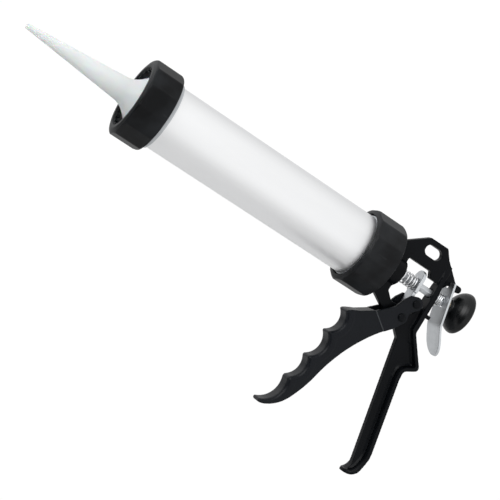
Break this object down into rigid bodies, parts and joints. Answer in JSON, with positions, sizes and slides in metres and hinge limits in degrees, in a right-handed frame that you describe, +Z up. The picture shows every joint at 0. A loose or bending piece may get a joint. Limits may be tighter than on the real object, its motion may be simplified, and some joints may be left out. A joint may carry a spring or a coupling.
{
  "type": "caulking gun",
  "caption": "Hand caulking gun: aluminium barrel with screwed front cap and nozzle, swivelling on a cast frame with a trigger, push rod and release plate.",
  "frame": {"origin": "centre of the nozzle's outlet, on the barrel's axis", "axes": "+X along the barrel from the nozzle to the pull knob; +Z up, away from the handle; +Y to the right of somebody who holds the gun and faces where the nozzle points, completing a right-handed frame"},
  "size_m": [0.4299, 0.0658, 0.2017],
  "materials": {
    "nozzle_plastic": "translucent natural polyethylene, smooth",
    "seal_rubber": "matte black rubber",
    "grip_plastic": "satin black moulded plastic",
    "ring_plastic": "plain grey moulded plastic",
    "barrel_aluminium": "satin, drawn tube with a fine lengthwise grain",
    "frame_paint": "semi-gloss black powder coat on a die casting",
    "black_rivet": "blackened steel, semi-gloss",
    "zinc_steel": "bright zinc plate with a light grain",
    "spring_steel": "bright drawn wire",
    "piston_plastic": "plain moulded plastic",
    "knob_plastic": "glossy black moulded plastic",
    "brass_insert": "plain turned brass"
  },
  "bodies": {
    "frame": {"frame": "frame_paint", "drive_spring": "spring_steel", "release_spring": "spring_steel"},
    "barrel": {"barrel_tube": "barrel_aluminium", "front_thread_ring": "ring_plastic", "rear_thread_ring": "ring_plastic", "rear_collar": "grip_plastic"},
    "nozzle_group": {"nozzle": "nozzle_plastic", "nozzle_seal": "seal_rubber"},
    "front_cap": {"front_cap": "grip_plastic"},
    "trigger": {"trigger": "frame_paint", "trigger_pivot_pin": "black_rivet", "drive_pin": "black_rivet", "drive_pin_sleeve": "zinc_steel"},
    "drive_plate": {"drive_plate": "zinc_steel"},
    "rod": {"push_rod": "zinc_steel", "piston": "piston_plastic", "piston_ring": "seal_rubber", "piston_front_washer": "zinc_steel", "piston_rear_washer": "zinc_steel", "piston_nut": "zinc_steel", "pull_knob": "knob_plastic", "knob_insert": "brass_insert"},
    "release_plate": {"release_plate": "zinc_steel"}
  },
  "joints": [
    {"name": "barrel_swivel", "type": "hinge", "parent": "frame", "child": "barrel", "pos_m": [0.3349, 0, 0], "axis": [1, 0, 0], "continuous": true},
    {"name": "nozzle_off", "type": "slide", "parent": "barrel", "child": "nozzle_group", "axis": [-1, 0, 0], "range_m": [0, 0.016]},
    {"name": "cap_screw", "type": "hinge", "parent": "nozzle_group", "child": "front_cap", "pos_m": [0.106, 0, 0], "axis": [-1, 0, 0], "range_deg": [0, 1440.5]},
    {"name": "trigger_pivot", "type": "hinge", "parent": "frame", "child": "trigger", "pos_m": [0.3766, 0, -0.03], "axis": [0, -1, 0], "range_deg": [0, 32], "stiffness_Nm_per_rad": 0.8, "springref_deg": -14.32},
    {"name": "drive_slide", "type": "slide", "parent": "frame", "child": "drive_plate", "axis": [-1, 0, 0], "range_m": [0, 0.0092], "deforming": ["drive_spring"]},
    {"name": "rod_slide", "type": "slide", "parent": "frame", "child": "rod", "axis": [1, 0, 0], "range_m": [0, 0.2]},
    {"name": "release_pivot", "type": "hinge", "parent": "frame", "child": "release_plate", "pos_m": [0.4026, 0, 0.015], "axis": [0, 1, 0], "range_deg": [0, 9], "stiffness_Nm_per_rad": 0.05, "springref_deg": -17.19, "deforming": ["release_spring"]}
  ],
  "couplings": [
    {"joint": "cap_screw", "follows": "nozzle_off", "rad_per_m": 1570.8},
    {"joint": "drive_slide", "follows": "trigger_pivot", "m_per_rad": 0.0163}
  ]
}
